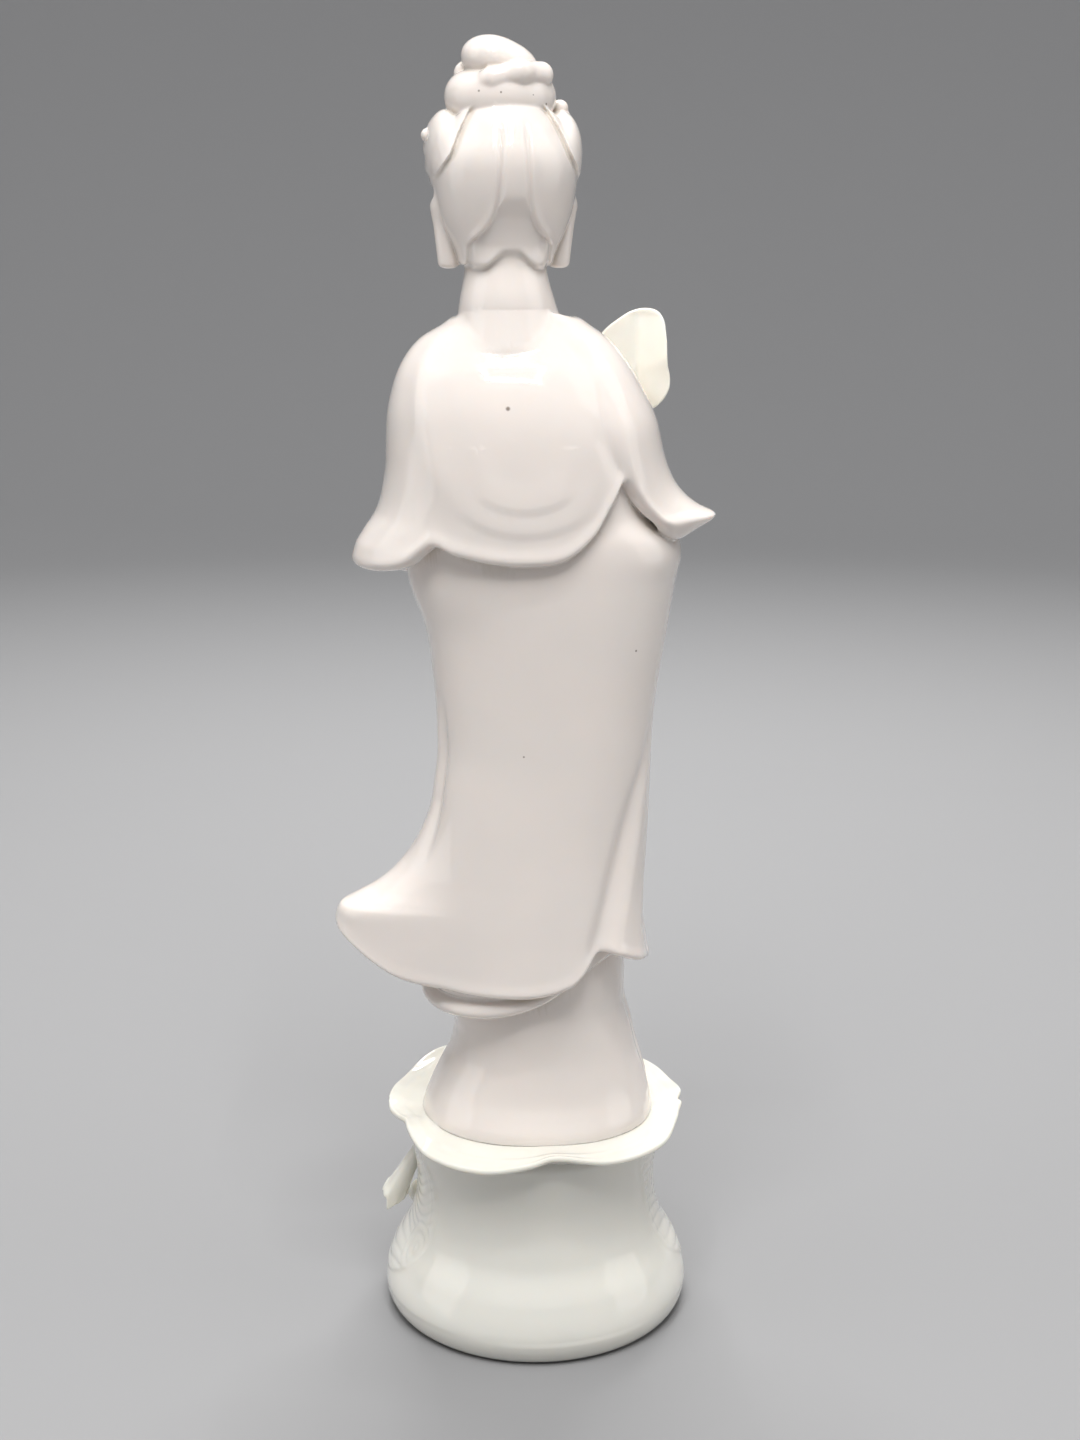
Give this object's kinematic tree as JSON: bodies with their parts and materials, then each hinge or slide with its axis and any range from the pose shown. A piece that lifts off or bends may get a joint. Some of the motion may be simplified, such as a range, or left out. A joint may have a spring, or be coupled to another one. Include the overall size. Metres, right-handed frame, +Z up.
{
  "type": "guanyin figure",
  "caption": "Standing robed figure in white glazed porcelain on a wavy lotus leaf over a flared hollow plinth, one hand holding an upright lotus leaf.",
  "frame": {"origin": "on the floor under the middle of the whole outline", "axes": "+Z up, the figure looks along -Y, and the blown hem of its robe points to +X"},
  "size_m": [0.1232, 0.1046, 0.421],
  "materials": {
    "figure_glaze": "clear glossy glaze over warm white porcelain, with a few iron specks",
    "plinth_glaze": "clear glossy glaze over warm white porcelain, bare and matt on the foot ring",
    "leaf_glaze": "clear glossy glaze over warm white porcelain, pooled a little in the folds"
  },
  "bodies": {
    "root": {"plinth": "plinth_glaze", "lotus_leaf_base": "leaf_glaze", "guanyin_figure": "figure_glaze", "held_lotus_leaf": "leaf_glaze", "rolled_lotus_leaf": "leaf_glaze", "lotus_bud_left": "leaf_glaze", "lotus_bud_right": "leaf_glaze"}
  },
  "joints": []
}
